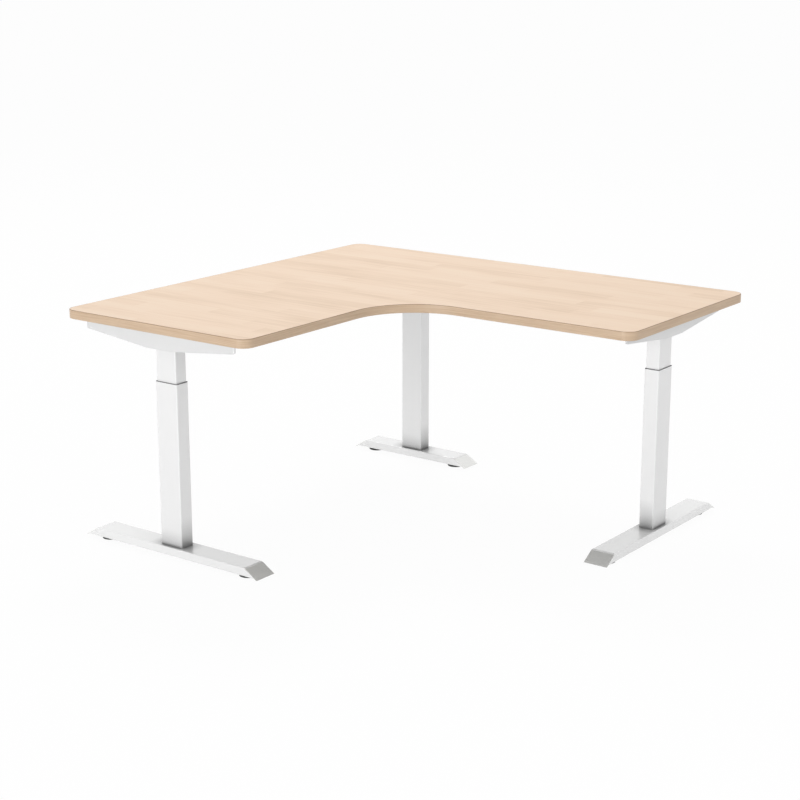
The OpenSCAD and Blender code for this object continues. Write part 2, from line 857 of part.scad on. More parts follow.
glide_stud(CORNER, -1);  // glide_stud_corner_1
glide_stud(CORNER, 1);  // glide_stud_corner_2
glide_stud(RIGHT, -1);  // glide_stud_right_1
glide_stud(RIGHT, 1);  // glide_stud_right_2
upper_tube(LEFT);  // upper_tube_left
upper_tube(CORNER);  // upper_tube_corner
upper_tube(RIGHT);  // upper_tube_right
guide_shoes();
bracket(LEFT);  // bracket_left
bracket(CORNER);  // bracket_corner
bracket(RIGHT);  // bracket_right
gearbox(LEFT);  // gearbox_left
gearbox(CORNER);  // gearbox_corner
gearbox(RIGHT);  // gearbox_right
motor(LEFT);  // motor_left
motor(CORNER);  // motor_corner
motor(RIGHT);  // motor_right
main_beam();
main_beam_slider();
side_beam();
side_beam_slider();
control_box();
handset();
display_window();
handset_button(0);  // button_up
handset_button(1);  // button_down
handset_button(2);  // button_1
handset_button(3);  // button_2
handset_button(4);  // button_3
spindle(LEFT);  // spindle_left
spindle(CORNER);  // spindle_corner
spindle(RIGHT);  // spindle_right
board_screws();
frame_bolts();
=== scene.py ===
"""Finishes, hardware and studio for an L-shaped standing desk on three telescopic columns.

The frame's nodes give every place: the classes below dress those nodes, or build a finer
mesh inside a node's own box and let it stand for that node.
"""

import logging
import math
from dataclasses import dataclass
from enum import Enum
from typing import Any, Callable, Iterable, Sequence

import bmesh
import bpy
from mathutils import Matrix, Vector


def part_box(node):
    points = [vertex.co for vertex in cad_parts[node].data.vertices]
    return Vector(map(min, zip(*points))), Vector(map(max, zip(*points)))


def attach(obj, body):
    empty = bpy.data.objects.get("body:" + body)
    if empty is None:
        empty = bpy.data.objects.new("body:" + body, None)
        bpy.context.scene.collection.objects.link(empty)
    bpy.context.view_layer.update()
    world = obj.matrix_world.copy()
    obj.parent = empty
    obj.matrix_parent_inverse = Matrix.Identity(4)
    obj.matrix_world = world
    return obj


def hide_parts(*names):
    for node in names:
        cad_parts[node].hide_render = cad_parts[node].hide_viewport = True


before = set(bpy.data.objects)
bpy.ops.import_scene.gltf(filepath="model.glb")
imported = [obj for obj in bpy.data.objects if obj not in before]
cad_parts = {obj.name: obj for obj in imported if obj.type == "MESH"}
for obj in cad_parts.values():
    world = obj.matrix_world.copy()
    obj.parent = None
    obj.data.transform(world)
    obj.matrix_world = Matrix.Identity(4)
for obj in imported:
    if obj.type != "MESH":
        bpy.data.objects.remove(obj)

log = logging.getLogger("desk")
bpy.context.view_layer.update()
MM = 0.001
LEGS = ("left", "corner", "right")
Point = tuple[float, float]


# ---- Colour and node helpers ----


def linear(code: str) -> tuple[float, float, float, float]:
    """Turns an sRGB hex colour into linear RGBA.

    Args:
        code: Six hex digits, with or without a leading #.

    Returns:
        The colour as Blender's sockets take it.
    """
    raw = [int(code.lstrip("#")[i : i + 2], 16) / 255 for i in (0, 2, 4)]
    r, g, b = (c / 12.92 if c <= 0.04045 else ((c + 0.055) / 1.055) ** 2.4 for c in raw)
    return r, g, b, 1.0


def add_node(
    tree: bpy.types.NodeTree, kind: str, inputs: dict[Any, Any] | None = None, **settings: Any
) -> bpy.types.Node:
    """Adds a node with its settings and links.

    Args:
        tree: The tree that gets the node.
        kind: The node's type name.
        inputs: Values or sockets for its inputs, by name or index.
        **settings: Properties of the node itself.

    Returns:
        The new node.
    """
    node = tree.nodes.new(kind)
    for key, value in settings.items():
        setattr(node, key, value)
    for key, value in (inputs or {}).items():
        if isinstance(value, bpy.types.NodeSocket):
            tree.links.new(value, node.inputs[key])
        else:
            node.inputs[key].default_value = value
    return node


# ---- Finishes ----


@dataclass(frozen=True)
class Finish:
    """What a surface is made of. A subclass draws it in looks()."""

    name: str
    color: str
    roughness: float

    def looks(self, tree: bpy.types.NodeTree) -> dict[str, Any]:
        """Draws the finish in a material's tree and returns its shader's inputs."""
        raise NotImplementedError

    def material(self) -> bpy.types.Material:
        """Builds the finish as a material, once.

        Returns:
            The material, which every piece in this finish shares.
        """
        made = bpy.data.materials.get(self.name)
        if made is None:
            made = bpy.data.materials.new(self.name)
            made.use_nodes = True
            tree = made.node_tree
            tree.nodes.clear()
            inputs = {"Base Color": linear(self.color), "Roughness": self.roughness}
            shader = add_node(tree, "ShaderNodeBsdfPrincipled", {**inputs, **self.looks(tree)})
            add_node(tree, "ShaderNodeOutputMaterial", {"Surface": shader.outputs[0]})
        return made


def place(tree: bpy.types.NodeTree, size: Sequence[float]) -> bpy.types.NodeSocket:
    """Object coordinates measured in cells of a given size.

    Args:
        tree: The material's tree.
        size: The cell's length along X, Y and Z, in metres.

    Returns:
        A vector socket that grows by 1 over each cell.
    """
    coords = add_node(tree, "ShaderNodeTexCoord")
    scale = tuple(1 / s for s in size)
    mapping = add_node(
        tree, "ShaderNodeMapping", {"Vector": coords.outputs["Object"], "Scale": scale}
    )
    return mapping.outputs["Vector"]


def noise(
    tree: bpy.types.NodeTree, vector: bpy.types.NodeSocket, detail: float, seed: float
) -> bpy.types.NodeSocket:
    """Noise of one feature a cell.

    Args:
        tree: The material's tree.
        vector: Where the noise is read, in cells.
        detail: How many finer layers it has.
        seed: Its fourth coordinate.

    Returns:
        The noise's value socket, around 0.5.
    """
    made = add_node(
        tree,
        "ShaderNodeTexNoise",
        {"Vector": vector, "W": seed, "Scale": 1.0, "Detail": detail, "Roughness": 0.5},
        noise_dimensions="4D",
    )
    return made.outputs["Fac"]


def ramp(
    tree: bpy.types.NodeTree, factor: bpy.types.NodeSocket, stops: Iterable[tuple[float, str]]
) -> bpy.types.NodeSocket:
    """A run of colours along a factor.

    Args:
        tree: The material's tree.
        factor: Where on the run the surface lies.
        stops: Places from 0 to 1, each with its sRGB hex colour.

    Returns:
        The colour socket.
    """
    made = add_node(tree, "ShaderNodeValToRGB", {"Fac": factor})
    elements = made.color_ramp.elements
    for i, (at, code) in enumerate(stops):
        element = elements[i] if i < 2 else elements.new(at)
        element.position = at
        element.color = linear(code)
    return made.outputs["Color"]


def blend(
    tree: bpy.types.NodeTree, mode: str, factor: Any, first: Any, second: Any
) -> bpy.types.NodeSocket:
    """Mixes two colours.

    Args:
        tree: The material's tree.
        mode: The way of mixing.
        factor: How much of the second colour.
        first: The colour below.
        second: The colour above.

    Returns:
        The colour socket.
    """
    made = add_node(
        tree, "ShaderNodeMix", {0: factor, 6: first, 7: second}, data_type="RGBA", blend_type=mode
    )
    return made.outputs[2]


def bumped(
    tree: bpy.types.NodeTree, height: bpy.types.NodeSocket, depth: float, arris: float = 0.0
) -> bpy.types.NodeSocket:
    """A fine relief, over edges that are eased by a small radius.

    Args:
        tree: The material's tree.
        height: The relief, from 0 to 1.
        depth: The relief's real depth, in metres.
        arris: The radius of the eased edges, in metres.

    Returns:
        The normal socket.
    """
    inputs: dict[str, Any] = {"Height": height, "Distance": depth, "Strength": 1.0}
    if arris:
        eased = add_node(tree, "ShaderNodeBevel", {"Radius": arris}, samples=6)
        inputs["Normal"] = eased.outputs["Normal"]
    return add_node(tree, "ShaderNodeBump", inputs).outputs["Normal"]


@dataclass(frozen=True)
class MapleLaminate(Finish):
    """Melamine laminate with a printed maple decor, pressed on chipboard.

    The print is pale and soft: wide warm patches, thin streaks along the sheet and short
    pores, under a satin melamine skin that is almost flat. The cells are in metres, and
    the weights say how much each layer of the print adds to its tone.
    """

    dark: str = "d9ba99"
    light: str = "efd7bc"
    patch: tuple[float, float] = (0.32, 0.07)
    streak: tuple[float, float] = (0.26, 0.009)
    fibre: tuple[float, float] = (0.055, 0.0025)
    stave: tuple[float, float] = (0.45, 0.065)
    skin: float = 0.0015
    streak_weight: float = 0.38
    patch_weight: float = 0.34
    stave_weight: float = 0.15
    fibre_weight: float = 0.06
    stops: tuple[float, float, float] = (0.26, 0.47, 0.68)
    backing: str = "9c9b98"
    backing_below: float = -0.5

    def looks(self, tree: bpy.types.NodeTree) -> dict[str, Any]:
        """Draws patches, staves, streaks and pores, one over the other.

        Args:
            tree: The material's tree.

        Returns:
            The shader's inputs.
        """
        layers = (
            (noise(tree, place(tree, (*self.streak, 1.0)), detail=3.0, seed=4.1), self.streak_weight),
            (noise(tree, place(tree, (*self.patch, 1.0)), detail=2.0, seed=1.3), self.patch_weight),
            (self.staves(tree), self.stave_weight),
            (noise(tree, place(tree, (*self.fibre, 1.0)), detail=2.0, seed=7.7), self.fibre_weight),
        )
        tone: Any = 0.0
        for layer, weight in layers:
            total = add_node(
                tree, "ShaderNodeMath", {0: layer, 1: weight, 2: tone}, operation="MULTIPLY_ADD"
            )
            tone = total.outputs[0]
        base = ramp(tree, tone, zip(self.stops, (self.dark, self.color, self.light)))
        skin = noise(tree, place(tree, (self.skin,) * 3), detail=1.0, seed=2.2)
        return {
            "Base Color": blend(tree, "MIX", self.underside(tree), base, linear(self.backing)),
            "IOR": 1.5,
            "Normal": bumped(tree, skin, depth=0.02 * MM),
        }

    def underside(self, tree: bpy.types.NodeTree) -> bpy.types.NodeSocket:
        """Finds the face that looks down, which has a plain grey balancing sheet.

        Args:
            tree: The material's tree.

        Returns:
            A socket that is 1 on that face and 0 elsewhere.
        """
        face = add_node(tree, "ShaderNodeNewGeometry")
        up = add_node(tree, "ShaderNodeSeparateXYZ", {0: face.outputs["Normal"]})
        down = add_node(
            tree,
            "ShaderNodeMath",
            {0: up.outputs["Z"], 1: self.backing_below},
            operation="LESS_THAN",
        )
        return down.outputs[0]

    def staves(self, tree: bpy.types.NodeTree) -> bpy.types.NodeSocket:
        """Gives each printed stave a random tone.

        Args:
            tree: The material's tree.

        Returns:
            The tone's socket, from 0 to 1.
        """
        cell = add_node(tree, "ShaderNodeSeparateXYZ", {0: place(tree, (*self.stave, 1.0))})
        row = add_node(tree, "ShaderNodeMath", {0: cell.outputs["Y"]}, operation="FLOOR")
        shift = add_node(tree, "ShaderNodeTexWhiteNoise", {"W": row.outputs[0]}, noise_dimensions="1D")
        along = add_node(
            tree, "ShaderNodeMath", {0: cell.outputs["X"], 1: shift.outputs["Value"]}, operation="ADD"
        )
        stave = add_node(tree, "ShaderNodeMath", {0: along.outputs[0]}, operation="FLOOR")
        spot = add_node(tree, "ShaderNodeCombineXYZ", {"X": stave.outputs[0], "Y": row.outputs[0]})
        tone = add_node(
            tree, "ShaderNodeTexWhiteNoise", {"Vector": spot.outputs[0]}, noise_dimensions="3D"
        )
        return tone.outputs["Value"]


@dataclass(frozen=True)
class EdgeTape(Finish):
    """ABS edge tape, printed in the sheet's wood tone and glued on.

    Its streaks run along the tape, so it reads its own UV map, in metres along the edge and up it. It is
    drawn a little darker than the sheet, and its arrises carry painted shade, darker still, the upper one
    most.
    """

    dark: str = "c2a587"
    light: str = "d6bc9f"
    streak: tuple[float, float] = (0.12, 0.0022)
    stops: tuple[float, float, float] = (0.30, 0.52, 0.74)
    board: float = 28 * MM
    arris_shade_band: float = 1.8 * MM
    low_arris_shade: str = "f0eeec"
    face: str = "ffffff"
    high_arris_shade: str = "c4b8ac"

    def looks(self, tree: bpy.types.NodeTree) -> dict[str, Any]:
        """Draws the printed streaks along the tape, and painted shade along its arrises.

        Args:
            tree: The material's tree.

        Returns:
            The shader's inputs.
        """
        uv = add_node(tree, "ShaderNodeUVMap", uv_map="tape")
        scale = (1 / self.streak[0], 1 / self.streak[1], 1.0)
        cells = add_node(tree, "ShaderNodeMapping", {"Vector": uv.outputs[0], "Scale": scale})
        tone = noise(tree, cells.outputs[0], detail=2.0, seed=3.3)
        printed = ramp(tree, tone, zip(self.stops, (self.dark, self.color, self.light)))
        height = add_node(tree, "ShaderNodeSeparateXYZ", {0: uv.outputs[0]})
        share = add_node(
            tree, "ShaderNodeMath", {0: height.outputs["Y"], 1: 1 / self.board}, operation="MULTIPLY"
        )
        # The bands at the two arrises are painted shade, the upper one darker.
        edge = self.arris_shade_band / self.board
        heights = (0.0, edge, 1 - edge, 1 - edge / 2)
        shades = (self.low_arris_shade, self.face, self.face, self.high_arris_shade)
        cut = ramp(tree, share.outputs[0], zip(heights, shades))
        return {
            "Base Color": blend(tree, "MULTIPLY", 1.0, printed, cut),
            "IOR": 1.5,
            "Normal": bumped(tree, tone, depth=0.02 * MM),
        }


class PaintedShade(Enum):
    """On which faces a coat's colour is darkened beside another piece, as painted shade."""

    NONE = "nowhere"
    AROUND = "on every face"
    ON_TOP = "on faces that look up"


@dataclass(frozen=True)
class PowderCoat(Finish):
    """Polyester powder coat, baked on pressed and welded steel.

    It is satin, with a faint orange peel from the melt. Its metallic share, mirror, was matched and is more
    than plain powder has. It lets a face take some of the tone of what it faces.

    The darker colour beside other pieces is painted shade, not a known trait of the coat. It was matched by
    eye to how dark the joint of foot and column looks, which may come from shadow or from reflection, and
    it stays there under any other light. It is full where openness falls to closed, and the NONE setting
    turns it off.
    """

    mirror: float = 0.38
    peel: float = 1.6 * MM
    painted_shade: PaintedShade = PaintedShade.NONE
    painted_shade_color: str = "6c6c6c"
    reach: float = 100 * MM
    closed: float = 0.5
    side_below: float = 0.5
    top_above: float = 0.9

    def looks(self, tree: bpy.types.NodeTree) -> dict[str, Any]:
        """Draws the coat, its peel and the painted shade beside other pieces.

        Args:
            tree: The material's tree.

        Returns:
            The shader's inputs.
        """
        grain = noise(tree, place(tree, (self.peel,) * 3), detail=2.0, seed=5.5)
        base: Any = linear(self.color)
        if self.painted_shade is not PaintedShade.NONE:
            # Painted shade: the coat's colour darkens beside other pieces, read by ambient occlusion.
            base = blend(tree, "MIX", self.openness(tree), linear(self.painted_shade_color), base)
        relief = bumped(tree, grain, depth=0.01 * MM, arris=1.0 * MM)
        return {"Base Color": base, "Metallic": self.mirror, "Normal": relief}

    def openness(self, tree: bpy.types.NodeTree) -> bpy.types.NodeSocket:
        """Tells how open a point lies, which sets where the painted shade goes.

        Args:
            tree: The material's tree.

        Returns:
            A socket from 0, close beside another face, to 1 in the open. For
            Contact.ON_TOP it is also 1 on every face that does not look up.
        """
        near = add_node(tree, "ShaderNodeAmbientOcclusion", {"Distance": self.reach}, samples=16)
        free = add_node(
            tree,
            "ShaderNodeMapRange",
            {"Value": near.outputs["AO"], "From Min": self.closed, "From Max": 1.0},
        )
        if self.painted_shade is PaintedShade.AROUND:
            return free.outputs[0]
        face = add_node(tree, "ShaderNodeNewGeometry")
        up = add_node(tree, "ShaderNodeSeparateXYZ", {0: face.outputs["Normal"]})
        side = add_node(
            tree,
            "ShaderNodeMapRange",
            {
                "Value": up.outputs["Z"],
                "From Min": self.side_below,
                "From Max": self.top_above,
                "To Min": 1.0,
                "To Max": 0.0,
            },
        )
        either = add_node(
            tree, "ShaderNodeMath", {0: free.outputs[0], 1: side.outputs[0]}, operation="MAXIMUM"
        )
        return either.outputs[0]


@dataclass(frozen=True)
class MouldedPlastic(Finish):
    """Injection-moulded plastic with the fine spark-eroded grain of its tool.

    The grain breaks up its gloss, so it looks matt. Without depth it is smooth, as on the
    display's window. Enamel, rubber and ink are drawn in the same way.
    """

    grain: float = 0.9 * MM
    depth: float = 0.03 * MM
    cloud: float = 0.06

    def looks(self, tree: bpy.types.NodeTree) -> dict[str, Any]:
        """Draws the grain and a faint cloud in the pigment.

        Args:
            tree: The material's tree.

        Returns:
            The shader's inputs.
        """
        fine = noise(tree, place(tree, (self.grain,) * 3), detail=2.0, seed=6.1)
        cloud = noise(tree, place(tree, (self.cloud,) * 3), detail=2.0, seed=1.9)
        tint = ramp(tree, cloud, ((0.3, "e4e4e4"), (0.7, "ffffff")))
        return {
            "Base Color": blend(tree, "MULTIPLY", 1.0, linear(self.color), tint),
            "IOR": 1.49,
            "Normal": bumped(tree, fine, self.depth, arris=0.4 * MM),
        }


@dataclass(frozen=True)
class BareMetal(Finish):
    """Metal left bare or plated, with drawn or turned lines, or the skin of a casting.

    It mirrors what it faces, broken up by those lines. A cell is one line's size.
    """

    cell: tuple[float, float, float] = (0.6 * MM, 0.6 * MM, 12 * MM)
    depth: float = 0.01 * MM
    spread: float = 0.08

    def looks(self, tree: bpy.types.NodeTree) -> dict[str, Any]:
        """Draws the lines or the skin in colour, roughness and relief.

        Args:
            tree: The material's tree.

        Returns:
            The shader's inputs.
        """
        line = noise(tree, place(tree, self.cell), detail=3.0, seed=8.8)
        tint = ramp(tree, line, ((0.25, "d4d4d4"), (0.75, "ffffff")))
        rough = add_node(
            tree,
            "ShaderNodeMapRange",
            {
                "Value": line,
                "To Min": self.roughness - self.spread,
                "To Max": self.roughness + self.spread,
            },
        )
        return {
            "Base Color": blend(tree, "MULTIPLY", 1.0, linear(self.color), tint),
            "Metallic": 1.0,
            "Roughness": rough.outputs[0],
            "Normal": bumped(tree, line, self.depth, arris=0.3 * MM),
        }


@dataclass(frozen=True)
class LitSegment(Finish):
    """The lit segments of a readout, on the face of its smoked window.

    They glow, so they read white whatever the light.
    """

    strength: float = 1.4

    def looks(self, tree: bpy.types.NodeTree) -> dict[str, Any]:
        """Draws a plain glow."""
        return {"Emission Color": linear(self.color), "Emission Strength": self.strength}


@dataclass(frozen=True)
class Lacquer(Finish):
    """Pale silver lacquer, sprayed on punched steel plates.

    Its aluminium flakes mirror softly, so a plate takes the tone of what it faces.
    """

    flake: float = 0.5 * MM
    mirror: float = 0.6

    def looks(self, tree: bpy.types.NodeTree) -> dict[str, Any]:
        """Draws the flakes in tone and relief.

        Args:
            tree: The material's tree.

        Returns:
            The shader's inputs.
        """
        spark = noise(tree, place(tree, (self.flake,) * 3), detail=2.0, seed=9.4)
        tint = ramp(tree, spark, ((0.3, "ededed"), (0.7, "ffffff")))
        return {
            "Base Color": blend(tree, "MULTIPLY", 1.0, linear(self.color), tint),
            "Metallic": self.mirror,
            "Normal": bumped(tree, spark, depth=0.01 * MM, arris=0.4 * MM),
        }


MAPLE = MapleLaminate("maple_laminate", "ebceb1", 0.42)
TAPE = EdgeTape("maple_edge_tape", "cbb196", 0.45)
COAT = PowderCoat("pearl_white_powder_coat", "ededed", 0.34)
# The brackets' coat is the white coat drawn darker, as painted shade under the board's overhang.
SHADED_BRACKET_COAT = PowderCoat("pearl_white_bracket_coat", "e2e2e2", 0.34)
# The columns' and the feet's coats carry painted shade beside other pieces.
COLUMN_COAT = PowderCoat(
    "pearl_white_column_coat", "ededed", 0.34, painted_shade=PaintedShade.AROUND, painted_shade_color="7c7c7c"
)
FOOT_COAT = PowderCoat(
    "pearl_white_foot_coat",
    "efefef",
    0.25,
    mirror=0.45,
    painted_shade=PaintedShade.ON_TOP,
    painted_shade_color="8c8c8c",
    reach=50 * MM,
)
END_LACQUER = Lacquer("pale_silver_lacquer", "f6f6f4", 0.22)
DARK_PLASTIC = MouldedPlastic("dark_grey_abs", "3b3b3d", 0.5)
COLLAR_PLASTIC = MouldedPlastic("grey_collar_abs", "6a6a6c", 0.5)
GLIDE_PLASTIC = MouldedPlastic("dark_grey_glide_nylon", "4a4a4a", 0.55)
ZINC = BareMetal("zinc_plated_steel", "c9cbcc", 0.32)
ROLLED = BareMetal("rolled_spindle_steel", "a5a5a3", 0.28, (4 * MM, 4 * MM, 0.5 * MM))
CAST = BareMetal("die_cast_alloy", "a9abad", 0.5, (1.4 * MM,) * 3, 0.06 * MM)
ACETAL = MouldedPlastic("natural_acetal", "e8e4d6", 0.4, 2.0 * MM, 0.01 * MM)
ENAMEL = MouldedPlastic("black_motor_enamel", "1d1d1f", 0.35, 2.5 * MM, 0.01 * MM)
WINDOW = MouldedPlastic("smoked_acrylic", "0b0b0c", 0.08, 20 * MM, 0.0)
KEY = MouldedPlastic("soft_key_rubber", "4c4c4f", 0.7, 0.6 * MM, 0.02 * MM)
PRINT = MouldedPlastic("pad_printed_ink", "e9e9e6", 0.5, 1.0 * MM, 0.0)
LIT = LitSegment("lit_white_segment", "f4f7fa", 0.4)


def dress(nodes: Iterable[str], finish: Finish) -> None:
    """Gives frame nodes their finish.

    Args:
        nodes: The nodes' names.
        finish: What they are made of.
    """
    for name in nodes:
        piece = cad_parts[name]
        if not piece.material_slots:
            piece.data.materials.append(finish.material())
        for slot in piece.material_slots:
            slot.material = finish.material()
        log.info("dressed %s in %s", name, finish.name)


def per_leg(*stems: str) -> list[str]:
    """Names of the nodes that each leg has one of."""
    return [f"{stem}_{leg}" for stem in stems for leg in LEGS]


# ---- Meshes ----


def new_piece(name: str, verts: Sequence[Any], faces: Sequence[Any], finish: Finish) -> bpy.types.Object:
    """Makes an object from points and faces, with its normals turned outwards.

    Args:
        name: The piece's name.
        verts: Its points, in metres in the frame.
        faces: Its faces, as indices.
        finish: What it is made of.

    Returns:
        The object, at the origin.
    """
    mesh = bpy.data.meshes.new(name)
    mesh.from_pydata([tuple(v) for v in verts], [], [tuple(f) for f in faces])
    work = bmesh.new()
    work.from_mesh(mesh)
    bmesh.ops.remove_doubles(work, verts=work.verts, dist=1e-7)
    bmesh.ops.recalc_face_normals(work, faces=work.faces)
    work.to_mesh(mesh)
    work.free()
    mesh.materials.append(finish.material())
    piece = bpy.data.objects.new(name, mesh)
    bpy.context.scene.collection.objects.link(piece)
    return piece


def shade_smooth(piece: bpy.types.Object, angle: float = 35.0) -> None:
    """Smooths a piece's shading and keeps its sharp edges.

    Args:
        piece: The piece, which is changed.
        angle: From how many degrees an edge stays sharp.
    """
    mesh = piece.data
    mesh.polygons.foreach_set("use_smooth", [True] * len(mesh.polygons))
    work = bmesh.new()
    work.from_mesh(mesh)
    for edge in work.edges:
        edge.smooth = len(edge.link_faces) == 2 and edge.calc_face_angle(0.0) < math.radians(angle)
    work.to_mesh(mesh)
    work.free()


def lathe(profile: Sequence[Point], steps: int) -> tuple[list[Vector], list[tuple[int, ...]]]:
    """Turns a profile round the Z axis.

    Args:
        profile: Radius and height of each point, from axis to axis.
        steps: How many points go round.

    Returns:
        Points and faces.
    """
    verts = [
        Vector((r * math.cos(a), r * math.sin(a), z))
        for r, z in profile
        for a in (math.tau * i / steps for i in range(steps))
    ]
    faces = [
        (k * steps + i, k * steps + (i + 1) % steps, (k + 1) * steps + (i + 1) % steps, (k + 1) * steps + i)
        for k in range(len(profile) - 1)
        for i in range(steps)
    ]
    return verts, faces


def prism(outline: Sequence[Point], low: float, high: float) -> tuple[list[Vector], list[tuple[int, ...]]]:
    """Raises an outline into a closed prism.

    Args:
        outline: Its corners, in order.
        low: Height of the lower face.
        high: Height of the upper face.

    Returns:
        Points and faces.
    """
    n = len(outline)
    verts = [Vector((x, y, z)) for z in (low, high) for x, y in outline]
    faces = [(i, (i + 1) % n, n + (i + 1) % n, n + i) for i in range(n)]
    faces += [tuple(range(n - 1, -1, -1)), tuple(range(n, 2 * n))]
    return verts, faces


# ---- Tabletop ----


@dataclass
class Tabletop:
    """The L-shaped board and the tape round its edge."""

    depth: float = 750 * MM
    corner_r: float = 40 * MM
    inner_r: float = 220 * MM
    tape: float = 2 * MM
    arris: float = 1.2 * MM
    arc_steps: int = 24
    arris_steps: int = 4

    def outline(self) -> list[tuple[Vector, Vector]]:
        """Walks round the L.

        Returns:
            Each point of the outline, with its outward direction.
        """
        low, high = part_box("edge_band")
        bend = Vector((low.x + self.depth, high.y - self.depth))
        r, q = self.corner_r, self.inner_r
        arcs = [
            ((low.x + r, low.y + r), r, 180, 270),
            ((bend.x - r, low.y + r), r, 270, 360),
            ((bend.x + q, bend.y - q), -q, 180, 90),
            ((high.x - r, bend.y + r), r, 270, 360),
            ((high.x - r, high.y - r), r, 0, 90),
            ((low.x + r, high.y - r), r, 90, 180),
        ]
        path = []
        for centre, radius, start, end in arcs:
            for i in range(self.arc_steps + 1):
                a = math.radians(start + (end - start) * i / self.arc_steps)
                out = Vector((math.cos(a), math.sin(a))) * math.copysign(1, radius)
                path.append((Vector(centre) + out * radius, out))
        return path

    def section(self) -> list[tuple[float, float]]:
        """Draws the tape's section.

        Returns:
            Its points: how far in from the edge, and how high.
        """
        low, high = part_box("edge_band")
        turns = [math.pi / 2 * i / self.arris_steps for i in range(self.arris_steps + 1)]
        r = self.arris
        top = [(r - r * math.sin(t), high.z - r + r * math.cos(t)) for t in turns]
        bottom = [(r - r * math.cos(t), low.z + r - r * math.sin(t)) for t in turns]
        return [(self.tape, high.z), *top, *bottom, (self.tape, low.z)]

    def build(self) -> None:
        """Builds the tape with its arrises rounded off by milling, and dresses the board."""
        path, section = self.outline(), self.section()
        n, m = len(path), len(section)
        verts = [
            Vector((*(point - out * inset), z)) for point, out in path for inset, z in section
        ]
        faces = [
            (i * m + k, (i + 1) % n * m + k, (i + 1) % n * m + (k + 1) % m, i * m + (k + 1) % m)
            for i in range(n)
            for k in range(m)
        ]
        tape = new_piece("edge_tape", verts, faces, TAPE)
        self.map_tape(tape, [point for point, _ in path])
        shade_smooth(tape)
        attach(tape, "top")
        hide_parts("edge_band")
        dress(["desktop"], MAPLE)
        log.info("built edge_tape with %d faces", len(tape.data.polygons))

    def map_tape(self, tape: bpy.types.Object, path: Sequence[Vector]) -> None:
        """Lays the tape flat in a UV map: metres along the edge, and height over its foot.

        Args:
            tape: The tape.
            path: The points of its outline.
        """
        run = [0.0]
        for a, b in zip(path, [*path[1:], path[0]]):
            run.append(run[-1] + (b - a).length)
        layer = tape.data.uv_layers.new(name="tape")
        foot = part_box("edge_band")[0].z
        for polygon in tape.data.polygons:
            corners = [tape.data.vertices[v].co for v in polygon.vertices]
            nearest = [min(range(len(path)), key=lambda i: (path[i] - c.xy).length_squared) for c in corners]
            wraps = max(nearest) - min(nearest) > len(path) / 2
            for loop, near, corner in zip(polygon.loop_indices, nearest, corners):
                along = run[-1] if wraps and near == 0 else run[near]
                layer.data[loop].uv = (along, corner.z - foot)


# ---- Hardware ----


class Drive(Enum):
    """How a screw is turned."""

    CROSS = "cross recess"
    HEX = "hex socket"


@dataclass
class Fastener:
    """One screw or bolt, as it stands in the frame."""

    seat: Vector
    axis: Vector
    head_r: float
    shank_r: float
    head_h: float
    length: float


def islands(name: str) -> list[list[Vector]]:
    """Splits a node into its solids, in the same order each run.

    The points wait in a dict because it keeps its order, which a set does not.

    Args:
        name: The node's name.

    Returns:
        The points of each solid.
    """
    work = bmesh.new()
    work.from_mesh(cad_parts[name].data)
    bmesh.ops.remove_doubles(work, verts=work.verts, dist=1e-6)
    left = dict.fromkeys(work.verts)
    found = []
    while left:
        queue = [left.popitem()[0]]
        group = []
        while queue:
            vert = queue.pop()
            group.append(vert.co.copy())
            for edge in vert.link_edges:
                other = edge.other_vert(vert)
                if other in left:
                    del left[other]
                    queue.append(other)
        found.append(group)
    work.free()
    return found


def read_fastener(points: Sequence[Vector]) -> Fastener:
    """Measures one screw of a node.

    Args:
        points: The screw's points.

    Returns:
        The screw, with its seat at the outer face of its head.
    """
    low = Vector(min(p[k] for p in points) for k in range(3))
    high = Vector(max(p[k] for p in points) for k in range(3))
    size = high - low
    gaps = [abs(size[(k + 1) % 3] - size[(k + 2) % 3]) for k in range(3)]
    k = gaps.index(min(gaps))
    centre = (low + high) / 2
    head_r = size[(k + 1) % 3] / 2

    def off_axis(point: Vector) -> float:
        """Measures how far a point lies from the screw's axis.

        Args:
            point: The point.

        Returns:
            The distance, in metres.
        """
        away = point - centre
        away[k] = 0
        return away.length

    wide = [p[k] for p in points if off_axis(p) > 0.98 * head_r]
    slim = [off_axis(p) for p in points if min(abs(p[k] - low[k]), abs(p[k] - high[k])) < 1e-6]
    from_low = min(wide) - low[k] < high[k] - max(wide)
    axis = Vector((0, 0, 0))
    axis[k] = 1.0 if from_low else -1.0
    seat = centre.copy()
    seat[k] = low[k] if from_low else high[k]
    return Fastener(seat, axis, head_r, min(slim), max(wide) - min(wide), size[k])


